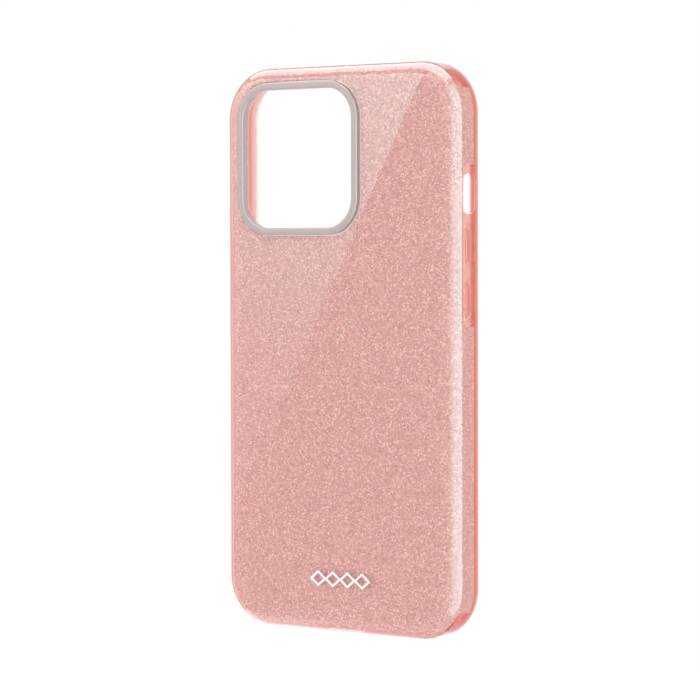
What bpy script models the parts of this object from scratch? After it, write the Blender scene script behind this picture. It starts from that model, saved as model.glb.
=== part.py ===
"""Phone case: a soft tinted tub over a glitter sheet and a hard clear tray.

Frame, in metres: +Z towards the top of the phone, -Y the outer back face, +Y the open
side that the screen looks out of, +X the side with the volume buttons. The origin is
the middle of the flat floor that the phone lies on.
"""
import math

import bmesh
import bpy
from mathutils import Matrix, Vector

MM = 0.001

# The phone that the case is made for
PHONE_WIDTH = 71.5 * MM
PHONE_HEIGHT = 146.7 * MM
PHONE_DEPTH = 7.65 * MM
PHONE_CORNER_RADIUS = 11.05 * MM
PHONE_CLEARANCE = 0.15 * MM

# Wall build-up, from the phone outwards
TRAY_SIDE_WALL = 0.6 * MM
TRAY_FLOOR = 0.75 * MM
SHEET_THICKNESS = 0.2 * MM
SHELL_WALL = 1.0 * MM
LAYER_GAP = 0.2 * MM
LIP_HEIGHT = 1.0 * MM
LIP_OVERHANG = 0.9 * MM
INNER_WALL_TOP_Y = 6.1 * MM

# Rounding, and how many straight steps stand for each round stretch
BACK_FILLET = 3.6 * MM
FRONT_FILLET = 1.8 * MM
TRAY_FLOOR_FILLET = 0.6 * MM
CORNER_STEPS = 10
FILLET_STEPS = 5
SMALL_STEPS = 4
PILL_STEPS = 6

# Camera opening: (x, z) of its middle, and the ring round it
CAMERA_CENTRE = (-13.5 * MM, 51.1 * MM)
RING_WIDTH = 40.0 * MM
RING_HEIGHT = 41.2 * MM
RING_BAND = 2.0 * MM
RING_CORNER_RADIUS = 10.0 * MM
RING_PROUD = 0.5 * MM
RING_EDGE = 0.4 * MM
RING_GAP = 0.25 * MM

# Side openings and buttons: z of each middle, length along Z; side is +1 for +X
SIDE_FEATURE_Y = 3.35 * MM
MUTE_SLOT_Z = 41.0 * MM
MUTE_SLOT_LENGTH = 10.8 * MM
MUTE_SLOT_WIDTH = 4.9 * MM
BUTTONS = {
    "volume_up_button": {"side": 1, "z": 27.45 * MM, "length": 8.6 * MM},
    "volume_down_button": {"side": 1, "z": 13.4 * MM, "length": 8.6 * MM},
    "side_button": {"side": -1, "z": 20.45 * MM, "length": 15.5 * MM},
}
CAP_WIDTH = 3.75 * MM
CAP_PROUD = 0.3 * MM
CAP_EDGE = 0.22 * MM
CAP_GAP = 0.2 * MM
CAP_FLANGE_RIM = 0.5 * MM
CAP_FLANGE_THICKNESS = 0.5 * MM
CAP_FLANGE_GAP = 0.3 * MM

# Windows in the sheet and the tray behind the side openings: z range by side.
# The shell's own wall is thin over the same stretch, up to BAY_TOP_Y.
WINDOW_BACK_Y = 0.7 * MM
WINDOW_CORNER = 1.8 * MM
WINDOW_RANGES = {1: (6.4 * MM, 48.6 * MM), -1: (10.4 * MM, 31.0 * MM)}
BAY_TOP_Y = 7.0 * MM

# Bottom edge: (x, length, width) of the port's opening and the two sound slots
BOTTOM_OPENINGS = [
    (0.0, 13.0 * MM, 6.4 * MM),
    (-17.0 * MM, 12.0 * MM, 3.0 * MM),
    (17.0 * MM, 12.0 * MM, 3.0 * MM),
]
BOTTOM_WINDOW_WIDTH = 50.0 * MM

# Relief notches where the sheet is folded round the corners
NOTCH_WIDTH = 7.0 * MM
NOTCH_ROOT_Y = 0.9 * MM
NOTCH_CORNER = 1.5 * MM

# Printed mark, let into the back: a row of outlined diamonds, placed as (x, z)
MARK_CENTRE = (0.5 * MM, -61.4 * MM)
MARK_THICKNESS = 0.1 * MM
MARK_GAP = 0.05 * MM
MARK_PITCH = 4.8 * MM
MARK_COUNT = 4
MARK_HALF_WIDTH = 2.75 * MM
MARK_HALF_HEIGHT = 2.2 * MM
MARK_STROKE = 0.6 * MM
MARK_FIRST_X = MARK_CENTRE[0] - MARK_PITCH * (MARK_COUNT - 1) / 2
MARK_PLACES = [Matrix.Translation((MARK_FIRST_X + number * MARK_PITCH, 0, MARK_CENTRE[1]))
               for number in range(MARK_COUNT)]

# Cutters run this far past what they cut
OVERRUN = 3.0 * MM

# Worked out from the driving dimensions
CAVITY_HALF_WIDTH = PHONE_WIDTH / 2 + PHONE_CLEARANCE
CAVITY_HALF_HEIGHT = PHONE_HEIGHT / 2 + PHONE_CLEARANCE
CAVITY_CORNER_RADIUS = PHONE_CORNER_RADIUS + PHONE_CLEARANCE
CAVITY_DEPTH = PHONE_DEPTH + PHONE_CLEARANCE
SHEET_INSIDE = TRAY_SIDE_WALL + LAYER_GAP
SHEET_OUTSIDE = SHEET_INSIDE + SHEET_THICKNESS
SHELL_INSIDE = SHEET_OUTSIDE + LAYER_GAP
SHELL_OUTSIDE = SHELL_INSIDE + SHELL_WALL
SHEET_FRONT_Y = -(TRAY_FLOOR + LAYER_GAP)
SHEET_BACK_Y = SHEET_FRONT_Y - SHEET_THICKNESS
SHELL_FLOOR_Y = SHEET_BACK_Y - LAYER_GAP
BACK_Y = SHELL_FLOOR_Y - SHELL_WALL
FRONT_Y = CAVITY_DEPTH + LIP_HEIGHT
OUTER_HALF_WIDTH = CAVITY_HALF_WIDTH + SHELL_OUTSIDE
OUTER_HALF_HEIGHT = CAVITY_HALF_HEIGHT + SHELL_OUTSIDE
CAMERA_POINT = Vector((CAMERA_CENTRE[0], 0, CAMERA_CENTRE[1]))


def make_material(name, colour, roughness, transmission=0.0):
    material = bpy.data.materials.new(name)
    material.use_nodes = True
    shader = material.node_tree.nodes["Principled BSDF"]
    shader.inputs["Base Color"].default_value = (*colour, 1.0)
    shader.inputs["Roughness"].default_value = roughness
    shader.inputs["Metallic"].default_value = 0.0
    shader.inputs["Transmission Weight"].default_value = transmission
    material.diffuse_color = (*colour, 1.0)
    return material


def bevel(bm, edges, width, steps):
    bmesh.ops.bevel(bm, geom=edges, offset=width, offset_type="OFFSET", segments=steps,
                    profile=0.5, affect="EDGES", clamp_overlap=False)


def slab_mesh(width, height, back, front, corner=0.0, back_fillet=0.0, front_fillet=0.0,
              corner_steps=CORNER_STEPS, fillet_steps=FILLET_STEPS):
    """A rounded rectangle, width along X and height along Z, that runs along Y from back to front."""
    bm = bmesh.new()
    bmesh.ops.create_cube(bm, size=1.0)
    bmesh.ops.scale(bm, vec=(width, front - back, height), verts=bm.verts)
    bmesh.ops.translate(bm, vec=(0, (front + back) / 2, 0), verts=bm.verts)
    tolerance = 0.001 * MM
    if corner:
        along_y = [e for e in bm.edges if abs(e.verts[0].co.y - e.verts[1].co.y) > tolerance]
        bevel(bm, along_y, corner, corner_steps)
    for y, fillet in ((back, back_fillet), (front, front_fillet)):
        if fillet:
            rim = [e for e in bm.edges if all(abs(v.co.y - y) < tolerance for v in e.verts)]
            bevel(bm, rim, fillet, fillet_steps)
    mesh = bpy.data.meshes.new("slab")
    bm.to_mesh(mesh)
    bm.free()
    return mesh


def tub_slab(outset, back, front, **fillets):
    """A slab on the phone cavity's outline, moved outwards by outset."""
    return slab_mesh(2 * (CAVITY_HALF_WIDTH + outset), 2 * (CAVITY_HALF_HEIGHT + outset), back, front,
                     CAVITY_CORNER_RADIUS + outset, **fillets)


def camera_slab(outset, back, front, **fillets):
    """A slab on the camera ring's outer outline, moved outwards by outset."""
    return slab_mesh(RING_WIDTH + 2 * outset, RING_HEIGHT + 2 * outset, back, front,
                     RING_CORNER_RADIUS + outset, **fillets)


def pill_mesh(length, width, low, high, edge=0.0):
    """A pill outline with its long side along Z, that runs along Y from low to high."""
    nearly_half = 0.999 * width / 2
    return slab_mesh(width, length, low, high, nearly_half, front_fillet=edge,
                     corner_steps=PILL_STEPS, fillet_steps=SMALL_STEPS)


def aimed(point, outwards, long_side):
    """A placing that takes a shape's +Y to outwards and its +Z to long_side."""
    out, long_way = Vector(outwards).normalized(), Vector(long_side).normalized()
    turn = Matrix((out.cross(long_way), out, long_way)).transposed()
    return Matrix.Translation(point) @ turn.to_4x4()


class Builder:
    """Makes the pieces in one collection and the shapes that cut or extend them in another."""

    def __init__(self):
        self.parts = bpy.data.collections.new("phone_case")
        self.shapes = bpy.data.collections.new("cutters")
        for collection in (self.parts, self.shapes):
            bpy.context.scene.collection.children.link(collection)

    def piece(self, name, mesh, material, placing=Matrix()):
        thing = bpy.data.objects.new(name, mesh)
        thing.matrix_world = placing
        mesh.materials.append(material)
        self.parts.objects.link(thing)
        return thing

    def shape(self, name, mesh, placing=Matrix()):
        thing = bpy.data.objects.new(name, mesh)
        thing.matrix_world = placing
        thing.hide_render = True
        thing.display_type = "WIRE"
        self.shapes.objects.link(thing)
        return thing


def combine(target, other, operation):
    modifier = target.modifiers.new(other.name, "BOOLEAN")
    modifier.operation = operation
    modifier.object = other
    modifier.solver = "EXACT"


def cut(target, *cutters):
    for cutter in cutters:
        combine(target, cutter, "DIFFERENCE")


def side_point(side, z):
    """The point on the outer side wall that a side feature is centred on."""
    return Vector((side * OUTER_HALF_WIDTH, SIDE_FEATURE_Y, z))


def wall_notch(builder, name, length, point, outwards, top_y):
    """A rounded notch through a wall from WINDOW_BACK_Y up to top_y; point is on the outer wall."""
    depth = top_y - WINDOW_BACK_Y
    long_side = Vector((0, 1, 0)).cross(outwards)
    inner = -(SHELL_OUTSIDE + PHONE_CLEARANCE)
    mesh = slab_mesh(depth, length, inner, -SHELL_WALL, WINDOW_CORNER, corner_steps=SMALL_STEPS)
    middle = Vector((point[0], (top_y + WINDOW_BACK_Y) / 2, point[2]))
    return builder.shape(name, mesh, aimed(middle, outwards, long_side))


def make_windows(builder):
    """The notches that open the sheet's and the tray's walls behind the shell's openings."""
    past_edge = INNER_WALL_TOP_Y + OVERRUN
    windows = []
    for side, (low, high) in WINDOW_RANGES.items():
        point = side_point(side, (low + high) / 2)
        windows.append(wall_notch(builder, f"window_{side}", high - low, point, (side, 0, 0), past_edge))
    bottom = (0, 0, -OUTER_HALF_HEIGHT)
    windows.append(wall_notch(builder, "window_bottom", BOTTOM_WINDOW_WIDTH, bottom, (0, 0, -1), past_edge))
    return windows


def make_shell(builder, material):
    shell = builder.piece("outer_shell", tub_slab(SHELL_OUTSIDE, BACK_Y, FRONT_Y, back_fillet=BACK_FILLET,
                                                  front_fillet=FRONT_FILLET), material)
    pocket = builder.shape("shell_pocket", tub_slab(SHELL_INSIDE, SHELL_FLOOR_Y, INNER_WALL_TOP_Y + LAYER_GAP,
                                                    back_fillet=BACK_FILLET - SHELL_WALL))
    cavity = builder.shape("shell_cavity", tub_slab(0, 0, CAVITY_DEPTH))
    mouth = builder.shape("shell_mouth", tub_slab(-LIP_OVERHANG, INNER_WALL_TOP_Y, FRONT_Y + OVERRUN))
    camera = builder.shape("shell_camera", camera_slab(RING_GAP, BACK_Y - OVERRUN, OVERRUN),
                           Matrix.Translation(CAMERA_POINT))
    cut(shell, pocket, cavity, mouth, camera, make_mark_pocket(builder))

    for side, (low, high) in WINDOW_RANGES.items():
        point = side_point(side, (low + high) / 2)
        cut(shell, wall_notch(builder, f"shell_bay_{side}", high - low, point, (side, 0, 0), BAY_TOP_Y))

    slots = [("mute_slot", 1, MUTE_SLOT_Z, MUTE_SLOT_LENGTH, MUTE_SLOT_WIDTH)]
    for name, button in BUTTONS.items():
        slots.append((name + "_slot", button["side"], button["z"], button["length"] + 2 * CAP_GAP,
                      CAP_WIDTH + 2 * CAP_GAP))
    for name, side, z, length, width in slots:
        slot = builder.shape(name, pill_mesh(length, width, -OVERRUN, OVERRUN),
                             aimed(side_point(side, z), (side, 0, 0), (0, 0, 1)))
        cut(shell, slot)

    for number, (x, length, width) in enumerate(BOTTOM_OPENINGS):
        slot = builder.shape(f"bottom_slot_{number}", pill_mesh(length, width, -OVERRUN, OVERRUN),
                             aimed((x, SIDE_FEATURE_Y, -OUTER_HALF_HEIGHT), (0, 0, -1), (1, 0, 0)))
        cut(shell, slot)


def make_sheet(builder, windows, material):
    outer_fillet = BACK_FILLET - SHELL_WALL - LAYER_GAP
    sheet = builder.piece("glitter_sheet", tub_slab(SHEET_OUTSIDE, SHEET_BACK_Y, INNER_WALL_TOP_Y,
                                                    back_fillet=outer_fillet), material)
    inside = builder.shape("sheet_inside", tub_slab(SHEET_INSIDE, SHEET_FRONT_Y, INNER_WALL_TOP_Y + OVERRUN,
                                                    back_fillet=outer_fillet - SHEET_THICKNESS))
    camera = builder.shape("sheet_camera", camera_slab(RING_GAP, BACK_Y, OVERRUN),
                           Matrix.Translation(CAMERA_POINT))
    cut(sheet, inside, camera, *windows)

    notch_length = 2 * (INNER_WALL_TOP_Y - NOTCH_ROOT_Y)
    for right in (1, -1):
        for top in (1, -1):
            outwards = Vector((right, 0, top)).normalized()
            arc_middle = Vector((right * (CAVITY_HALF_WIDTH - CAVITY_CORNER_RADIUS), 0,
                                 top * (CAVITY_HALF_HEIGHT - CAVITY_CORNER_RADIUS)))
            point = arc_middle + CAVITY_CORNER_RADIUS * outwards
            point.y = NOTCH_ROOT_Y + notch_length / 2
            mesh = slab_mesh(NOTCH_WIDTH, notch_length, -OVERRUN, OVERRUN, NOTCH_CORNER,
                             corner_steps=SMALL_STEPS)
            cut(sheet, builder.shape(f"notch_{right}_{top}", mesh, aimed(point, outwards, (0, 1, 0))))


def make_tray(builder, windows, material):
    outer_fillet = BACK_FILLET - SHELL_WALL - 2 * LAYER_GAP - SHEET_THICKNESS
    tray = builder.piece("inner_tray", tub_slab(TRAY_SIDE_WALL, -TRAY_FLOOR, INNER_WALL_TOP_Y,
                                                back_fillet=outer_fillet), material)
    inside = builder.shape("tray_inside", tub_slab(0, 0, INNER_WALL_TOP_Y + OVERRUN,
                                                   back_fillet=TRAY_FLOOR_FILLET))
    camera = builder.shape("tray_camera", camera_slab(-RING_BAND, BACK_Y, OVERRUN),
                           Matrix.Translation(CAMERA_POINT))
    cut(tray, inside, camera, *windows)


def make_camera_ring(builder, material):
    """A band that stands on the tray, passes the sheet and the shell, and ends just proud of the back."""
    placing = Matrix.Translation(CAMERA_POINT)
    band = camera_slab(0, BACK_Y - RING_PROUD, SHEET_FRONT_Y, back_fillet=RING_EDGE, fillet_steps=SMALL_STEPS)
    ring = builder.piece("camera_ring", band, material, placing)
    cut(ring, builder.shape("ring_hole", camera_slab(-RING_BAND, BACK_Y - OVERRUN, OVERRUN), placing))


def make_buttons(builder, material):
    """Each cap slides in its slot, and the flange behind the wall keeps it from falling out."""
    flange_high = -(SHELL_WALL + CAP_FLANGE_GAP)
    flange_low = flange_high - CAP_FLANGE_THICKNESS
    for name, button in BUTTONS.items():
        placing = aimed(side_point(button["side"], button["z"]), (button["side"], 0, 0), (0, 0, 1))
        head = pill_mesh(button["length"], CAP_WIDTH, flange_low, CAP_PROUD, edge=CAP_EDGE)
        cap = builder.piece(name, head, material, placing)
        rim = 2 * CAP_FLANGE_RIM
        flange = pill_mesh(button["length"] + rim, CAP_WIDTH + rim, flange_low, flange_high)
        combine(cap, builder.shape(name + "_flange", flange, placing), "UNION")


def diamond_mesh(inset, low, high):
    """A diamond in X and Z, from low to high in y, with its sides moved in by inset."""
    # The half-diagonals shrink in proportion as the sides move in
    scale = 1 - inset * math.hypot(1 / MARK_HALF_WIDTH, 1 / MARK_HALF_HEIGHT)
    mesh = slab_mesh(math.sqrt(2), math.sqrt(2), low, high)
    onto_corner = Matrix.Rotation(math.pi / 4, 4, "Y")
    mesh.transform(Matrix.Diagonal((scale * MARK_HALF_WIDTH, 1, scale * MARK_HALF_HEIGHT, 1)) @ onto_corner)
    return mesh


def add_diamonds(builder, target, spread, low, high):
    """Adds the rest of the row to target, which is its first diamond, and opens every middle."""
    for number, place in enumerate(MARK_PLACES[1:], 1):
        diamond = diamond_mesh(-spread, low, high)
        combine(target, builder.shape(f"{target.name}_diamond_{number}", diamond, place), "UNION")
    for number, place in enumerate(MARK_PLACES):
        middle = diamond_mesh(MARK_STROKE + spread, low - OVERRUN, high + OVERRUN)
        cut(target, builder.shape(f"{target.name}_middle_{number}", middle, place))


def make_mark_pocket(builder):
    """The shallow groove in the shell's back that the mark lies in."""
    low, high = BACK_Y - OVERRUN, BACK_Y + MARK_THICKNESS + MARK_GAP
    groove = builder.shape("mark_groove", diamond_mesh(-MARK_GAP, low, high), MARK_PLACES[0])
    add_diamonds(builder, groove, MARK_GAP, low, high)
    return groove


def make_mark(builder, material):
    """Outlined diamonds in a row, tip over tip: a plain ornament, flush with the back."""
    low, high = BACK_Y, BACK_Y + MARK_THICKNESS
    mark = builder.piece("printed_mark", diamond_mesh(0, low, high), material, MARK_PLACES[0])
    add_diamonds(builder, mark, 0, low, high)


def main():
    for thing in list(bpy.data.objects):
        bpy.data.objects.remove(thing, do_unlink=True)
    builder = Builder()
    windows = make_windows(builder)
    make_shell(builder, make_material("coral_tpu", (0.95, 0.45, 0.37), 0.25, transmission=0.6))
    make_sheet(builder, windows, make_material("rose_glitter", (0.74, 0.38, 0.36), 0.45))
    make_tray(builder, windows, make_material("clear_tray", (0.90, 0.86, 0.85), 0.15, transmission=0.8))
    make_camera_ring(builder, make_material("frosted_ring", (0.76, 0.72, 0.70), 0.4, transmission=0.4))
    make_buttons(builder, make_material("coral_cap", (0.90, 0.33, 0.26), 0.3, transmission=0.3))
    make_mark(builder, make_material("white_print", (0.95, 0.92, 0.90), 0.6))


main()
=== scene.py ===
"""Looks for the glitter phone case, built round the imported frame. Metres; +Z up, -Y the back."""
import math

import bmesh
import bpy
from mathutils import Matrix, Vector


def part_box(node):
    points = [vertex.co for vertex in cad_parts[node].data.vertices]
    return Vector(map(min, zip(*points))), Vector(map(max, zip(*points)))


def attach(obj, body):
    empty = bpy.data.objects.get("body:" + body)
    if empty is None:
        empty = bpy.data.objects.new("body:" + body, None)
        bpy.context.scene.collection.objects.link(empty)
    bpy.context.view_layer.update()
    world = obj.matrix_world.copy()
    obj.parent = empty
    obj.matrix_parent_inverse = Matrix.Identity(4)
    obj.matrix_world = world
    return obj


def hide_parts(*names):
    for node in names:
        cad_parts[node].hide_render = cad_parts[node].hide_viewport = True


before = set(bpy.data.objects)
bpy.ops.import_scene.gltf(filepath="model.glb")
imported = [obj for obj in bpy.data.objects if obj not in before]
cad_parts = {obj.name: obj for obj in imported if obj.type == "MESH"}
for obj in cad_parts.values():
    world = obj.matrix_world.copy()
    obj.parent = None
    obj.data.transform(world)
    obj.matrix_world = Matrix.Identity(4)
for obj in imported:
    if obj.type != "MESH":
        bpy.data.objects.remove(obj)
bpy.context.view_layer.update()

MM = 0.001

# Measured from the frame
SHELL_LOW, SHELL_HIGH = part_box("outer_shell")
SHEET_LOW, SHEET_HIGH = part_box("glitter_sheet")
TRAY_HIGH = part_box("inner_tray")[1]
RING_LOW, RING_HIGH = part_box("camera_ring")
HALF_WIDTH, HALF_HEIGHT = SHELL_HIGH[0], SHELL_HIGH[2]
BACK_Y, FRONT_Y = SHELL_LOW[1], SHELL_HIGH[1]

# The shell's section: depths are measured inwards from its outer wall
CORNER_RADIUS = 13.4 * MM
BACK_FILLET = 3.6 * MM
FRONT_FILLET = 1.8 * MM
SHELL_WALL = 1.0 * MM
SKIN_WALL = 0.35 * MM
CAVITY_DEPTH_IN = 2.2 * MM
MOUTH_DEPTH_IN = 3.1 * MM
LIP_UNDERSIDE_Y = FRONT_Y - 1.0 * MM
LIP_ROUNDING = 0.3 * MM
STEP_Y = SHEET_HIGH[1] + 0.2 * MM
SHEET_DEPTH_IN = SKIN_WALL + 0.15 * MM
SHEET_THICKNESS = 0.2 * MM
TRAY_DEPTH_IN = HALF_WIDTH - TRAY_HIGH[0]
TRAY_FLOOR_FILLET = 0.6 * MM
TRAY_RIM_ROUNDING = 0.15 * MM

PAD_DEPTHS_IN = (0.15 * MM, SHELL_WALL)
PAD_MARGIN = 0.08 * MM

# How far the cutters and the pads reach or stay clear
OVERRUN = 3.0 * MM
WINDOW_OVERCUT = 0.15 * MM
FLARE_MOUTH = (0.4 * MM, 0.25 * MM)

# Round stretches
CORNER_STEPS = 24
FILLET_STEPS = 10
SMALL_STEPS = 5
RING_STEPS = 20
CAP_STEPS = 10
PILL_END_SHARE = 0.998
SMOOTH_ANGLE = math.radians(32)

# Camera opening
RING_BAND = 2.0 * MM
RING_CROWN = 0.55 * MM
RING_SLOPE = 0.8 * MM
RING_FOOT_SUNK = 0.1 * MM
RING_CORNER_RADIUS = 10.0 * MM
RING_HALF = ((RING_HIGH[0] - RING_LOW[0]) / 2, (RING_HIGH[2] - RING_LOW[2]) / 2)
RING_CENTRE = Vector(((RING_LOW[0] + RING_HIGH[0]) / 2, 0, (RING_LOW[2] + RING_HIGH[2]) / 2))
RING_GAP = 0.12 * MM
SHEET_RING_GAP = 0.25 * MM

# Side features
SIDE_Y = 3.35 * MM
MUTE_SLOT_Z, MUTE_SLOT_LENGTH, MUTE_SLOT_WIDTH = 41.0 * MM, 10.8 * MM, 4.9 * MM
CAD_FLANGE_RIM = 0.5 * MM
FLANGE_RIM = 0.3 * MM
FLANGE_THICKNESS = 0.5 * MM
CAP_CORNER_RADIUS = 1.3 * MM
CAP_GAP = 0.15 * MM
CAP_EDGE = 0.45 * MM
CAP_CROWN = 0.12 * MM
CAP_CROWN_POINTS = ((0.7 * MM, 0.07 * MM), (1.2 * MM, 0.0))
BOSS_ROOT = 0.5 * MM
BOSS_PROUD = 0.2 * MM
BOSS_CORNER_SHARE = 0.9
BOSS_ROUNDING = 0.5 * MM
BOSS_RIM = (1.0 * MM, 2.0 * MM)
WINDOW_BACK_Y = 1.1 * MM
WINDOW_CORNER = 1.8 * MM
WINDOW_RANGES = {1: (6.4 * MM, 48.6 * MM), -1: (10.4 * MM, 31.0 * MM)}
BAY_TOP_Y = 7.0 * MM
BOTTOM_OPENINGS = [
    (0.0, 13.0 * MM, 6.4 * MM),
    (-17.0 * MM, 12.0 * MM, 3.0 * MM),
    (17.0 * MM, 12.0 * MM, 3.0 * MM),
]
BOTTOM_WINDOW_WIDTH = 50.0 * MM
CORNERS = ((1, 1), (1, -1), (-1, 1), (-1, -1))
NOTCH_WIDTH = 7.0 * MM
NOTCH_ROOT_Y = 0.9 * MM
NOTCH_CORNER = 1.5 * MM
MARK_PROUD = 0.03 * MM
MARK_EDGE = 0.02 * MM

# The rounding of each opening's edge
CAMERA_FLARE = 0.3 * MM
TRAY_CAMERA_FLARE = 0.15 * MM
MUTE_FLARE = 0.35 * MM
CAP_SLOT_FLARE = 0.12 * MM
BOTTOM_FLARE = 0.3 * MM

# The buttons, each with the body it moves with
BUTTON_BODIES = {
    "volume_up_button": "volume_up",
    "volume_down_button": "volume_down",
    "side_button": "side",
}

# Clear plastic
CLEAR_IOR = 1.04
COAT_IOR = 1.5
COAT_ROUGHNESS = 0.0
CORAL_ABSORB = (0.85, 0.15, 0.0)
SHELL_DENSITY = 600
CAP_DENSITY = 430

# Glitter: tones as (share of the flakes, level), the brightest levels being painted glints, and the few
# cream flakes that are painted glints too
# Each flake's own random tone, with the top levels painted glints rather than tone
FLAKE_TONES_AND_GLINTS = [(0.0, 0.68), (0.45, 0.92), (0.75, 1.03), (0.92, 1.2), (1.0, 1.7)]
FLAKE_SCALE = 3400
FLAKE_TILT = 0.5
FLAKE_ROUGHNESS = 0.45
FLAKE_METALLIC = 0.2
# Painted glints: a few flakes coloured bright cream in place of light glinting off them
PAINTED_GLINT_SHARE = 0.1
PAINTED_GLINT_SCALE_SHARE = 0.5
PAINTED_GLINT_RADIUS = 0.4
PAINTED_GLINT_COLOUR = (1.0, 0.93, 0.90)
MOTTLE_SCALE = 900
MOTTLE_NOISE = (0.3, 0.7)
MOTTLE_RANGE = (0.93, 1.07)

# Ink
INK_GRAIN_SCALE = 4000
INK_DARK_LEVEL = 0.94
INK_ROUGHNESS = 0.5

# Camera and stage
CAMERA_AZIMUTH = math.radians(35.61)
CAMERA_ELEVATION = math.radians(1.855)
CAMERA_ROLL = math.radians(-0.136)
CAMERA_DISTANCE = 0.7607
CAMERA_LENS_MM = 146.15
SENSOR_MM = 36
CAMERA_TARGET = Vector((0.00001, 0.00316, -0.00023))
FLOOR_SIZE = 6
FLOOR_BELOW = 500 * MM
FLOOR_GLOW = 0.15
CARD_DISTANCE = 0.55
WHITE = (1.0, 1.0, 1.0)
COOL_WHITE = (0.5, 1.0, 1.0)
NO_SOFTNESS = 1e-4
DIAGONAL_TOP = (26.85 * MM, 71.1 * MM)
DIAGONAL_FOOT = (-16.6 * MM, -9.8 * MM)


# ---------------------------------------------------------------- shapes

def arc(centre, radius, start, end, steps, rise=None):
    """Points on an arc, or an oval of another radius in y, at degrees from +depth towards +y."""
    rise = radius if rise is None else rise
    turns = [math.radians(start + (end - start) * i / steps) for i in range(steps + 1)]
    return [(centre[0] + radius * math.cos(t), centre[1] + rise * math.sin(t)) for t in turns]


def outline(half_width, half_height, radius, steps):
    """The points of a rounded rectangle in x and z."""
    points = []
    for sx, sz, start in ((1, 1, 0), (-1, 1, 90), (-1, -1, 180), (1, -1, 270)):
        cx, cz = sx * (half_width - radius), sz * (half_height - radius)
        for i in range(steps + 1):
            t = math.radians(start + 90 * i / steps)
            points.append((cx + radius * math.cos(t), cz + radius * math.sin(t)))
    return points


def sweep(name, half, radius, section, steps=CORNER_STEPS, closed=False, placing=Matrix()):
    """A section of (depth in, y) points carried round a rounded rectangle.

    An open section starts and ends on a flat cap; a closed one makes a ring.
    """
    bm = bmesh.new()
    rings = []
    for depth, y in section:
        ring = outline(half[0] - depth, half[1] - depth, max(radius - depth, 0.02 * MM), steps)
        rings.append([bm.verts.new((x, y, z)) for x, z in ring])
    pairs = list(zip(rings, rings[1:]))
    if closed:
        pairs.append((rings[-1], rings[0]))
    count = len(rings[0])
    for low, high in pairs:
        for i in range(count):
            j = (i + 1) % count
            bm.faces.new((low[i], low[j], high[j], high[i]))
    if not closed:
        bm.faces.new(rings[0])
        bm.faces.new(rings[-1])
    bmesh.ops.remove_doubles(bm, verts=bm.verts, dist=0.0005 * MM)
    bmesh.ops.recalc_face_normals(bm, faces=bm.faces)
    mesh = bpy.data.meshes.new(name)
    bm.to_mesh(mesh)
    bm.free()
    mesh.transform(placing)
    mesh.shade_smooth()
    mesh.set_sharp_from_angle(angle=SMOOTH_ANGLE)
    thing = bpy.data.objects.new(name, mesh)
    bpy.context.scene.collection.objects.link(thing)
    return thing


def aimed(point, outwards, long_side):
    """A placing that takes a shape's +Y to outwards and its +Z to long_side."""
    out, long_way = Vector(outwards).normalized(), Vector(long_side).normalized()
    turn = Matrix((out.cross(long_way), out, long_way)).transposed()
    return Matrix.Translation(point) @ turn.to_4x4()


def combine(target, tool, operation="DIFFERENCE"):
    """Adds a boolean, which settle applies."""
    modifier = target.modifiers.new(tool.name, "BOOLEAN")
    modifier.operation = operation
    modifier.object = tool
    modifier.solver = "MANIFOLD"


def settle(target, tools):
    """Applies the modifiers, removes the tools and leaves one mesh with even shading."""
    graph = bpy.context.evaluated_depsgraph_get()
    mesh = bpy.data.meshes.new_from_object(target.evaluated_get(graph))
    target.modifiers.clear()
    target.data = mesh
    for tool in tools:
        bpy.data.objects.remove(tool, do_unlink=True)
    mesh.shade_smooth()
    mesh.set_sharp_from_angle(angle=SMOOTH_ANGLE)
    weighted = target.modifiers.new("even_normals", "WEIGHTED_NORMAL")
    weighted.keep_sharp = True
    weighted.weight = 100


def flared(name, half, radius, inner, surface, flare, steps=8, placing=Matrix()):
    """A cutter whose mouth opens in a round, so that the edge it leaves at y=surface is rounded."""
    section = [(0, inner), (0, surface - flare)]
    for point in arc((-flare, surface - flare), flare, 0, 80, SMALL_STEPS)[1:]:
        section.append(point)
    last = section[-1]
    wider, higher = FLARE_MOUTH
    section.append((last[0] - wider, surface + higher))
    section.append((last[0] - wider, surface + OVERRUN))
    return sweep(name, half, radius, section, steps, placing=placing)


def pill(name, length, width, flare, placing):
    """A flared cutter with round ends, from inside the wall to the outer face."""
    half = (width / 2, length / 2)
    return flared(name, half, PILL_END_SHARE * width / 2, -OVERRUN, 0, flare, placing=placing)


def plain(name, half, radius, low, high, placing=Matrix(), steps=8):
    """A straight block with rounded corners, from low to high along its own +Y."""
    return sweep(name, half, radius, [(0, low), (0, high)], steps, placing=placing)


def side_placing(side, z):
    """A placing on the outer face of one side, at the height of the side features."""
    return aimed((side * HALF_WIDTH, SIDE_Y, z), (side, 0, 0), (0, 0, 1))


def wall_notch(name, side, low, high, top_y, wall_left):
    """A rounded notch in the inner walls of one side, from the back up to top_y."""
    depth = top_y - WINDOW_BACK_Y
    middle = (side * HALF_WIDTH, (top_y + WINDOW_BACK_Y) / 2, (low + high) / 2)
    half = (depth / 2, (high - low) / 2)
    inner = -(CAVITY_DEPTH_IN + WINDOW_OVERCUT)
    return plain(name, half, WINDOW_CORNER, inner, -wall_left, aimed(middle, (side, 0, 0), (0, 0, 1)))


def bottom_notch(name, top_y):
    """The same in the bottom wall, down to the skin."""
    depth = top_y - WINDOW_BACK_Y
    middle = (0, (top_y + WINDOW_BACK_Y) / 2, -HALF_HEIGHT)
    half = (depth / 2, BOTTOM_WINDOW_WIDTH / 2)
    inner = -(CAVITY_DEPTH_IN + WINDOW_OVERCUT)
    return plain(name, half, WINDOW_CORNER, inner, -SKIN_WALL, aimed(middle, (0, 0, -1), (1, 0, 0)))


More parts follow.
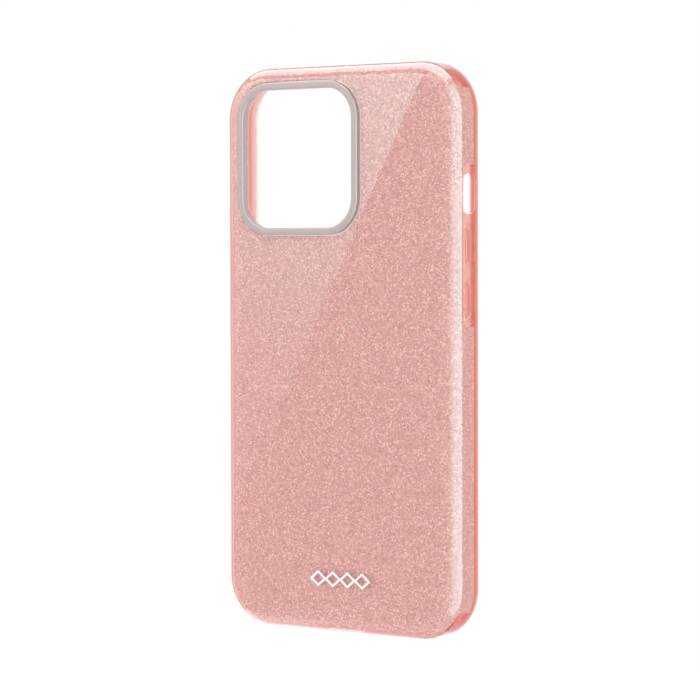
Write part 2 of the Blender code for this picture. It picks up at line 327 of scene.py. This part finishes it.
def corner_notch(name, right, top, margin=0.0):
    """A slab through one corner of the sheet's wall, from the notch's root past its top edge."""
    length = 2 * (SHEET_HIGH[1] - NOTCH_ROOT_Y)
    outwards = Vector((right, 0, top)).normalized()
    middle = Vector((right * (HALF_WIDTH - CORNER_RADIUS), 0, top * (HALF_HEIGHT - CORNER_RADIUS)))
    point = middle + (CORNER_RADIUS - CAVITY_DEPTH_IN) * outwards
    point.y = NOTCH_ROOT_Y + length / 2
    half = (NOTCH_WIDTH / 2 - margin, length / 2 - margin)
    return plain(name, half, NOTCH_CORNER, -OVERRUN, OVERRUN, aimed(point, outwards, (0, 1, 0)))


def make_pads():
    """The shell's full wall where the sheet is open: a band inside the skin, kept only there."""
    low, high = PAD_DEPTHS_IN
    foot, top = NOTCH_ROOT_Y + PAD_MARGIN, STEP_Y + PAD_MARGIN
    section = [(low, foot), (high, foot), (high, top), (low, top)]
    pads = sweep("pads", (HALF_WIDTH, HALF_HEIGHT), CORNER_RADIUS, section, closed=True)
    shapes = []
    for side, (z_low, z_high) in WINDOW_RANGES.items():
        z_range = (z_low + PAD_MARGIN, z_high - PAD_MARGIN)
        shapes.append(wall_notch(f"pad_side_{side}", side, *z_range, STEP_Y + OVERRUN, 0))
    for right, top_way in CORNERS:
        shapes.append(corner_notch(f"pad_corner_{right}_{top_way}", right, top_way, PAD_MARGIN))
    for shape in shapes[1:]:
        combine(shapes[0], shape, "UNION")
    combine(pads, shapes[0], "INTERSECT")
    settle(pads, shapes)
    pads.modifiers.clear()
    return pads


def cap_face(button):
    """A cap's side, its middle along z, and the length and width of the face that shows."""
    low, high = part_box(button)
    length = high[2] - low[2] - 2 * CAD_FLANGE_RIM
    width = high[1] - low[1] - 2 * CAD_FLANGE_RIM
    side = 1 if high[0] > 0 else -1
    return side, (low[2] + high[2]) / 2, length, width


def make_shell():
    """One closed skin: thin over the sheet, full at the lip, in the sheet's openings and at the caps."""
    mid = BACK_Y + BACK_FILLET
    section = arc((BACK_FILLET, mid), -BACK_FILLET, 90, 0, FILLET_STEPS)
    front = FRONT_Y - FRONT_FILLET
    section += arc((FRONT_FILLET, front), -FRONT_FILLET, 0, -90, FILLET_STEPS)
    lip = MOUTH_DEPTH_IN - LIP_ROUNDING
    section += arc((lip, FRONT_Y - LIP_ROUNDING), LIP_ROUNDING, 90, 0, SMALL_STEPS)
    section += arc((lip, LIP_UNDERSIDE_Y + LIP_ROUNDING), LIP_ROUNDING, 0, -90, SMALL_STEPS)
    section += [(CAVITY_DEPTH_IN, LIP_UNDERSIDE_Y), (CAVITY_DEPTH_IN, STEP_Y), (SKIN_WALL, STEP_Y)]
    section += arc((BACK_FILLET, mid), -(BACK_FILLET - SKIN_WALL), 0, 90, FILLET_STEPS)
    shell = sweep("shell_skin", (HALF_WIDTH, HALF_HEIGHT), CORNER_RADIUS, section)

    added = [make_pads()]
    for button in BUTTON_BODIES:
        side, z, length, width = cap_face(button)
        half = (width / 2 + BOSS_RIM[0], length / 2 + BOSS_RIM[1])
        shoulder = (BOSS_ROUNDING, BOSS_PROUD - BOSS_ROUNDING)
        body = [(0, -BOSS_ROOT), (0, BOSS_PROUD - BOSS_ROUNDING)]
        body += arc(shoulder, -BOSS_ROUNDING, 0, -90, SMALL_STEPS)[1:]
        radius = half[0] * BOSS_CORNER_SHARE
        added.append(sweep("boss_" + button, half, radius, body, CAP_STEPS, placing=side_placing(side, z)))
    for thing in added:
        combine(shell, thing, "UNION")

    half = (RING_HALF[0] + RING_GAP, RING_HALF[1] + RING_GAP)
    tools = [flared("tool_camera", half, RING_CORNER_RADIUS + RING_GAP, -OVERRUN, -BACK_Y, CAMERA_FLARE,
                    RING_STEPS, aimed(RING_CENTRE, (0, -1, 0), (0, 0, 1)))]
    for side, (low, high) in WINDOW_RANGES.items():
        tools.append(wall_notch(f"tool_bay_{side}", side, low, high, BAY_TOP_Y, SHELL_WALL))
    placing = side_placing(1, MUTE_SLOT_Z)
    tools.append(pill("tool_mute", MUTE_SLOT_LENGTH, MUTE_SLOT_WIDTH, MUTE_FLARE, placing))
    for button in BUTTON_BODIES:
        side, z, length, width = cap_face(button)
        half = (width / 2 + CAP_GAP, length / 2 + CAP_GAP)
        tools.append(flared("tool_" + button, half, CAP_CORNER_RADIUS + CAP_GAP, -OVERRUN, BOSS_PROUD,
                            CAP_SLOT_FLARE, placing=side_placing(side, z)))
    for number, (x, length, width) in enumerate(BOTTOM_OPENINGS):
        placing = aimed((x, SIDE_Y, -HALF_HEIGHT), (0, 0, -1), (1, 0, 0))
        tools.append(pill(f"tool_bottom_{number}", length, width, BOTTOM_FLARE, placing))
    for tool in tools:
        combine(shell, tool)
    settle(shell, added + tools)
    return shell


def make_sheet():
    """The glitter, close under the skin, with openings for the camera, the sides and the corners."""
    mid = BACK_Y + BACK_FILLET
    outer, rise = BACK_FILLET - SHEET_DEPTH_IN, mid - SHEET_LOW[1]
    section = arc((BACK_FILLET, mid), -outer, 90, 0, FILLET_STEPS, -rise)
    section += [(SHEET_DEPTH_IN, SHEET_HIGH[1]), (SHEET_DEPTH_IN + SHEET_THICKNESS, SHEET_HIGH[1])]
    inner, inner_rise = SHEET_THICKNESS - outer, SHEET_THICKNESS - rise
    section += arc((BACK_FILLET, mid), inner, 0, 90, FILLET_STEPS, inner_rise)
    sheet = sweep("glitter_skin", (HALF_WIDTH, HALF_HEIGHT), CORNER_RADIUS, section)
    half = (RING_HALF[0] + SHEET_RING_GAP, RING_HALF[1] + SHEET_RING_GAP)
    tools = [plain("tool_sheet_camera", half, RING_CORNER_RADIUS + SHEET_RING_GAP, -OVERRUN, OVERRUN,
                   Matrix.Translation(RING_CENTRE), RING_STEPS)]
    past_edge = SHEET_HIGH[1] + OVERRUN
    for side, (low, high) in WINDOW_RANGES.items():
        tools.append(wall_notch(f"tool_window_{side}", side, low, high, past_edge, SKIN_WALL))
    tools.append(bottom_notch("tool_window_bottom", past_edge))
    tools += [corner_notch(f"tool_notch_{right}_{top}", right, top) for right, top in CORNERS]
    for tool in tools:
        combine(sheet, tool)
    settle(sheet, tools)
    return sheet


def make_tray():
    """The clear tray, with rounded rims and the same openings as the sheet at its sides and bottom."""
    mid = BACK_Y + BACK_FILLET
    outer = BACK_FILLET - TRAY_DEPTH_IN
    floor = TRAY_FLOOR_FILLET
    rim = TRAY_RIM_ROUNDING
    top = TRAY_HIGH[1]
    section = arc((BACK_FILLET, mid), -outer, 90, 0, FILLET_STEPS)
    section += arc((TRAY_DEPTH_IN + rim, top - rim), -rim, 0, -90, SMALL_STEPS)
    section += arc((CAVITY_DEPTH_IN - rim, top - rim), rim, 90, 0, SMALL_STEPS)
    section += arc((CAVITY_DEPTH_IN + floor, floor), -floor, 0, 90, SMALL_STEPS)
    tray = sweep("tray_skin", (HALF_WIDTH, HALF_HEIGHT), CORNER_RADIUS, section)
    half = (RING_HALF[0] - RING_BAND, RING_HALF[1] - RING_BAND)
    tools = [flared("tool_tray_camera", half, RING_CORNER_RADIUS - RING_BAND, -OVERRUN, 0, TRAY_CAMERA_FLARE,
                    RING_STEPS, Matrix.Translation(RING_CENTRE))]
    past_edge = TRAY_HIGH[1] + OVERRUN
    for side, (low, high) in WINDOW_RANGES.items():
        tools.append(wall_notch(f"tool_window_{side}", side, low, high, past_edge, SKIN_WALL))
    tools.append(bottom_notch("tool_window_bottom", past_edge))
    for tool in tools:
        combine(tray, tool)
    settle(tray, tools)
    return tray


def make_ring():
    """A low band: straight inner wall, rounded crown, and an outer side that slopes to the shell."""
    top, foot, base = RING_LOW[1], BACK_Y + RING_FOOT_SUNK, RING_HIGH[1]
    section = [(RING_BAND, base), (RING_BAND, top + RING_CROWN)]
    section += arc((RING_BAND - RING_CROWN, top + RING_CROWN), RING_CROWN, 0, -90, SMALL_STEPS)[1:]
    turns = [math.radians(90 * i / SMALL_STEPS) for i in range(SMALL_STEPS + 1)]
    for t in turns:
        section.append((RING_SLOPE - RING_SLOPE * math.sin(t), foot + (top - foot) * math.cos(t)))
    section += [(0, base)]
    ring = sweep("camera_bead", RING_HALF, RING_CORNER_RADIUS, section, RING_STEPS, closed=True,
                 placing=Matrix.Translation(RING_CENTRE))
    settle(ring, [])
    return ring


def make_cap(button):
    """A cap with a rounded edge and a slight crown, and its flange behind the wall."""
    side, z, length, width = cap_face(button)
    low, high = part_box(button)
    proud = max(abs(low[0]), abs(high[0])) - HALF_WIDTH
    deep = min(abs(low[0]), abs(high[0])) - HALF_WIDTH
    flange_top = deep + FLANGE_THICKNESS
    section = [(-FLANGE_RIM, deep), (-FLANGE_RIM, flange_top), (0, flange_top)]
    section += arc((CAP_EDGE, proud - CAP_CROWN - CAP_EDGE), -CAP_EDGE, 0, -80, SMALL_STEPS)
    section += [(depth, proud - drop) for depth, drop in CAP_CROWN_POINTS]
    cap = sweep("cap_" + button, (width / 2, length / 2), CAP_CORNER_RADIUS, section, CAP_STEPS,
                placing=side_placing(side, z))
    settle(cap, [])
    return cap


def make_mark():
    """The printed diamonds, standing a hair proud of the back with soft edges."""
    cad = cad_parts["printed_mark"]
    mesh = cad.data.copy()
    mesh.materials.clear()
    mesh.transform(cad.matrix_world)
    low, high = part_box("printed_mark")
    for vertex in mesh.vertices:
        if vertex.co.y < (low[1] + high[1]) / 2:
            vertex.co.y -= MARK_PROUD
    mark = bpy.data.objects.new("mark_print", mesh)
    bpy.context.scene.collection.objects.link(mark)
    edge = mark.modifiers.new("edge", "BEVEL")
    edge.width = MARK_EDGE
    edge.segments = 2
    edge.limit_method = "ANGLE"
    settle(mark, [])
    return mark


# ---------------------------------------------------------------- materials

def new_material(name):
    material = bpy.data.materials.new(name)
    material.use_nodes = True
    return material, material.node_tree, material.node_tree.nodes["Principled BSDF"]


def node(tree, kind, **values):
    made = tree.nodes.new(kind)
    for key, value in values.items():
        setattr(made, key, value)
    return made


def clear_plastic(name, tint, roughness, transmission=1.0, absorb=None, density=0.0,
                  coat_roughness=COAT_ROUGHNESS):
    """Clear plastic, glossy outside; a tinted one takes its colour from its depth.

    What it shows stands where it is, so it bends light only slightly, and its gloss is a coat that
    faces outwards.
    """
    material, tree, shader = new_material(name)
    shader.inputs["Base Color"].default_value = (*tint, 1)
    shader.inputs["Roughness"].default_value = roughness
    shader.inputs["Transmission Weight"].default_value = transmission
    shader.inputs["IOR"].default_value = CLEAR_IOR
    shader.inputs["Coat IOR"].default_value = COAT_IOR
    shader.inputs["Coat Roughness"].default_value = coat_roughness
    geometry = node(tree, "ShaderNodeNewGeometry")
    outside = node(tree, "ShaderNodeMath", operation="SUBTRACT")
    outside.inputs[0].default_value = 1
    tree.links.new(geometry.outputs["Backfacing"], outside.inputs[1])
    tree.links.new(outside.outputs[0], shader.inputs["Coat Weight"])
    if absorb:
        volume = node(tree, "ShaderNodeVolumeAbsorption")
        volume.inputs["Color"].default_value = (*absorb, 1)
        volume.inputs["Density"].default_value = density
        tree.links.new(volume.outputs[0], tree.nodes["Material Output"].inputs["Volume"])
    return material


def glitter(name, base, scale):
    """Flakes as Voronoi cells: each has its own tone and its own slight tilt; the brightest tones and a few
    cream flakes are painted glints.
    """
    material, tree, shader = new_material(name)
    links = tree.links
    place = node(tree, "ShaderNodeTexCoord")

    fine = node(tree, "ShaderNodeTexVoronoi", feature="F1")
    fine.inputs["Scale"].default_value = scale
    links.new(place.outputs["Object"], fine.inputs["Vector"])
    split = node(tree, "ShaderNodeSeparateColor")
    links.new(fine.outputs["Color"], split.inputs[0])
    # Each flake's tone: its own random tone, with the brightest levels standing in as painted glints
    tone = node(tree, "ShaderNodeValToRGB")
    elements = tone.color_ramp.elements
    for position, _ in FLAKE_TONES_AND_GLINTS[1:-1]:
        elements.new(position)
    for element, (_, level) in zip(elements, FLAKE_TONES_AND_GLINTS):
        element.color = tuple(min(channel * level, 1) for channel in base) + (1,)
    links.new(split.outputs[0], tone.inputs[0])

    cloud = node(tree, "ShaderNodeTexNoise")
    cloud.inputs["Scale"].default_value = MOTTLE_SCALE
    links.new(place.outputs["Object"], cloud.inputs["Vector"])
    level = node(tree, "ShaderNodeMapRange")
    level.inputs["From Min"].default_value, level.inputs["From Max"].default_value = MOTTLE_NOISE
    level.inputs["To Min"].default_value, level.inputs["To Max"].default_value = MOTTLE_RANGE
    links.new(cloud.outputs[0], level.inputs["Value"])
    mottled = node(tree, "ShaderNodeVectorMath", operation="SCALE")
    links.new(tone.outputs[0], mottled.inputs[0])
    links.new(level.outputs[0], mottled.inputs["Scale"])

    # Painted glints: a few flakes, picked at random on a coarser grid, coloured bright cream in place of
    # lamp glints
    coarse = node(tree, "ShaderNodeTexVoronoi", feature="F1")
    coarse.inputs["Scale"].default_value = scale * PAINTED_GLINT_SCALE_SHARE
    links.new(place.outputs["Object"], coarse.inputs["Vector"])
    pick = node(tree, "ShaderNodeSeparateColor")
    links.new(coarse.outputs["Color"], pick.inputs[0])
    rare = node(tree, "ShaderNodeMath", operation="GREATER_THAN")
    rare.inputs[1].default_value = 1 - PAINTED_GLINT_SHARE
    links.new(pick.outputs[1], rare.inputs[0])
    near = node(tree, "ShaderNodeMath", operation="LESS_THAN")
    near.inputs[1].default_value = PAINTED_GLINT_RADIUS
    links.new(coarse.outputs["Distance"], near.inputs[0])
    painted_glint_mask = node(tree, "ShaderNodeMath", operation="MULTIPLY")
    links.new(rare.outputs[0], painted_glint_mask.inputs[0])
    links.new(near.outputs[0], painted_glint_mask.inputs[1])
    colour = node(tree, "ShaderNodeMix", data_type="RGBA")
    links.new(painted_glint_mask.outputs[0], colour.inputs[0])
    links.new(mottled.outputs[0], colour.inputs[6])
    colour.inputs[7].default_value = (*PAINTED_GLINT_COLOUR, 1)
    links.new(colour.outputs[2], shader.inputs["Base Color"])

    facing = node(tree, "ShaderNodeNewGeometry")
    centred = node(tree, "ShaderNodeVectorMath", operation="SUBTRACT")
    links.new(fine.outputs["Color"], centred.inputs[0])
    centred.inputs[1].default_value = (0.5, 0.5, 0.5)
    tilt = node(tree, "ShaderNodeVectorMath", operation="SCALE")
    links.new(centred.outputs[0], tilt.inputs[0])
    tilt.inputs["Scale"].default_value = FLAKE_TILT
    leaning = node(tree, "ShaderNodeVectorMath", operation="ADD")
    links.new(facing.outputs["Normal"], leaning.inputs[0])
    links.new(tilt.outputs[0], leaning.inputs[1])
    unit = node(tree, "ShaderNodeVectorMath", operation="NORMALIZE")
    links.new(leaning.outputs[0], unit.inputs[0])
    links.new(unit.outputs[0], shader.inputs["Normal"])
    shader.inputs["Roughness"].default_value = FLAKE_ROUGHNESS
    shader.inputs["Metallic"].default_value = FLAKE_METALLIC
    return material


def ink(name, colour):
    """Flat ink with a faint grain."""
    material, tree, shader = new_material(name)
    place = node(tree, "ShaderNodeTexCoord")
    noise = node(tree, "ShaderNodeTexNoise")
    noise.inputs["Scale"].default_value = INK_GRAIN_SCALE
    tree.links.new(place.outputs["Object"], noise.inputs["Vector"])
    tone = node(tree, "ShaderNodeMix", data_type="RGBA")
    tree.links.new(noise.outputs[0], tone.inputs[0])
    tone.inputs[6].default_value = (*[channel * INK_DARK_LEVEL for channel in colour], 1)
    tone.inputs[7].default_value = (*colour, 1)
    tree.links.new(tone.outputs[2], shader.inputs["Base Color"])
    shader.inputs["Roughness"].default_value = INK_ROUGHNESS
    return material


# ---------------------------------------------------------------- stage

def make_camera():
    """The camera at its azimuth, elevation and distance from the target, with a slight roll."""
    data = bpy.data.cameras.new("view")
    data.lens = CAMERA_LENS_MM
    data.sensor_width = SENSOR_MM
    camera = bpy.data.objects.new("view", data)
    bpy.context.scene.collection.objects.link(camera)
    back = Vector((math.sin(CAMERA_AZIMUTH) * math.cos(CAMERA_ELEVATION),
                   -math.cos(CAMERA_AZIMUTH) * math.cos(CAMERA_ELEVATION), math.sin(CAMERA_ELEVATION)))
    camera.location = CAMERA_TARGET + CAMERA_DISTANCE * back
    camera.rotation_mode = "QUATERNION"
    roll = Matrix.Rotation(CAMERA_ROLL, 4, back).to_quaternion()
    camera.rotation_quaternion = roll @ (-back).to_track_quat("-Z", "Y")
    data.clip_start, data.clip_end = 0.01, 20
    bpy.context.scene.camera = camera


def card(name, corner, along, across, radiance, fade, soft=0.0, colour=WHITE):
    """A soft panel that only a gloss shows: from corner, along one side and across the other.

    fade is ((share of along, level), (share of along, level)): it goes smoothly from one to the other.
    soft is the share of across over which it fades out at either edge.
    """
    middle = corner + (along + across) / 2
    normal = along.cross(across).normalized()
    if normal.dot(-middle) < 0:
        along, normal = -along, -normal
        fade = tuple((1 - share, level) for share, level in reversed(fade))
    data = bpy.data.lights.new(name, "AREA")
    data.shape = "RECTANGLE"
    data.color = colour
    data.size, data.size_y = along.length, across.length
    data.energy = radiance * math.pi * along.length * across.length
    lamp = bpy.data.objects.new(name, data)
    x_axis, z_axis = along.normalized(), -normal
    y_axis = z_axis.cross(x_axis)
    turn = Matrix((x_axis, y_axis, z_axis)).transposed()
    lamp.matrix_world = Matrix.Translation(middle) @ turn.to_4x4()
    lamp.visible_camera = False
    lamp.visible_diffuse = False
    lamp.visible_transmission = False
    lamp.visible_volume_scatter = False
    bpy.context.scene.collection.objects.link(lamp)

    data.use_nodes = True
    tree = data.node_tree
    geometry = node(tree, "ShaderNodeNewGeometry")
    split = node(tree, "ShaderNodeSeparateXYZ")
    tree.links.new(geometry.outputs["Parametric"], split.inputs[0])
    level = node(tree, "ShaderNodeMapRange", interpolation_type="SMOOTHSTEP")
    for end, (share, value) in zip(("Min", "Max"), fade):
        level.inputs["From " + end].default_value = share
        level.inputs["To " + end].default_value = value
    tree.links.new(split.outputs["X"], level.inputs["Value"])
    fold = node(tree, "ShaderNodeMath", operation="PINGPONG")
    fold.inputs[1].default_value = 0.5
    tree.links.new(split.outputs["Y"], fold.inputs[0])
    edge = node(tree, "ShaderNodeMapRange", interpolation_type="SMOOTHSTEP")
    edge.inputs["From Min"].default_value = -NO_SOFTNESS
    edge.inputs["From Max"].default_value = max(soft, NO_SOFTNESS)
    tree.links.new(fold.outputs[0], edge.inputs["Value"])
    both = node(tree, "ShaderNodeMath", operation="MULTIPLY")
    tree.links.new(level.outputs[0], both.inputs[0])
    tree.links.new(edge.outputs[0], both.inputs[1])
    tree.links.new(both.outputs[0], tree.nodes["Emission"].inputs["Strength"])


def back_card(name, start, end, distance, width, overrun, radiance, fade):
    """A panel whose mirror image in the flat back has an edge through two points of it, as (x, z)."""
    eye = bpy.context.scene.camera.location.copy()
    eye.y = 2 * BACK_Y - eye.y
    ends = []
    for x, z in (start, end):
        sight = Vector((x, BACK_Y, z)) - eye
        ends.append(eye + sight * (1 + distance / sight.length))
    away = (ends[0] + ends[1]) / 2 - eye
    along = ends[1] - ends[0]
    across = along.cross(away).normalized()
    if across.x > 0:
        across = -across
    step = along.normalized() * overrun
    card(name, ends[0] - step, along + 2 * step, across * width, radiance, fade, colour=COOL_WHITE)


def make_floor():
    bpy.ops.mesh.primitive_plane_add(size=FLOOR_SIZE, location=(0, 0, SHELL_LOW[2] - FLOOR_BELOW))
    floor = bpy.context.object
    floor.name = "floor"
    material, _, shader = new_material("pale_floor")
    shader.inputs["Base Color"].default_value = (0.95, 0.95, 0.95, 1)
    shader.inputs["Roughness"].default_value = 0.9
    shader.inputs["Emission Color"].default_value = (*WHITE, 1)
    shader.inputs["Emission Strength"].default_value = FLOOR_GLOW
    floor.data.materials.append(material)


def make_lights():
    """A white world, and four panels: one for the glare on the back and three for the rounded edges."""
    world = bpy.data.worlds.new("studio")
    world.use_nodes = True
    world.node_tree.nodes["Background"].inputs["Color"].default_value = (*WHITE, 1)
    world.node_tree.nodes["Background"].inputs["Strength"].default_value = 1.0
    bpy.context.scene.world = world
    back_card("diagonal_card", DIAGONAL_TOP, DIAGONAL_FOOT, distance=CARD_DISTANCE, width=0.5,
              overrun=0.1, radiance=4.4, fade=((0.0, 1.0), (0.85, 0.1)))
    card("right_card", corner=Vector((0.0, -1.1, -0.9)), along=Vector((0.63, 1.305, 0)),
         across=Vector((0, 0, 1.8)), radiance=7.5, fade=((0.0, 0.0), (0.95, 1.0)), soft=0.35,
         colour=COOL_WHITE)
    card("top_card", corner=Vector((-0.75, -0.5, 0.55)), along=Vector((1.0, 0, 0)),
         across=Vector((0, 0.95, 0)), radiance=7.0, fade=((0.0, 0.6), (1.0, 1.0)), soft=0.3)
    card("bottom_card", corner=Vector((-0.13, -0.12, SHELL_LOW[2] - 0.05)), along=Vector((0.12, 0, 0)),
         across=Vector((0, 0.24, 0)), radiance=2.0, fade=((0.3, 1.0), (1.0, 0.0)), soft=0.3)


def dress(thing, material, slot, body, *nodes):
    """Gives a piece its material and its body, and hides the CAD nodes it stands for."""
    thing.data.materials.clear()
    thing.data.materials.append(material)
    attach(thing, body)
    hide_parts(*nodes)


def main():
    make_camera()
    make_floor()
    make_lights()
    bpy.context.scene.view_settings.view_transform = "Standard"

    coral = clear_plastic("coral_tpu", tint=WHITE, roughness=0.0, absorb=CORAL_ABSORB, density=SHELL_DENSITY)
    cap_coral = clear_plastic("coral_cap", tint=(0.96, 0.80, 0.76), roughness=0.1, absorb=CORAL_ABSORB,
                              density=CAP_DENSITY)
    clear = clear_plastic("clear_tray", tint=(0.97, 0.95, 0.95), roughness=0.0)
    frosted = clear_plastic("frosted_ring", tint=(0.57, 0.45, 0.433), roughness=0.3, transmission=0.2,
                            coat_roughness=0.35)
    sparkle = glitter("rose_glitter", base=(0.84, 0.57, 0.57), scale=FLAKE_SCALE)

    dress(make_shell(), coral, "coral_tpu", "case", "outer_shell")
    dress(make_sheet(), sparkle, "rose_glitter", "case", "glitter_sheet")
    dress(make_tray(), clear, "clear_tray", "case", "inner_tray")
    dress(make_ring(), frosted, "frosted_ring", "case", "camera_ring")
    for button, body in BUTTON_BODIES.items():
        dress(make_cap(button), cap_coral, "coral_cap", body, button)
    dress(make_mark(), ink("white_ink", (0.95, 0.93, 0.92)), "white_print", "case", "printed_mark")


main()
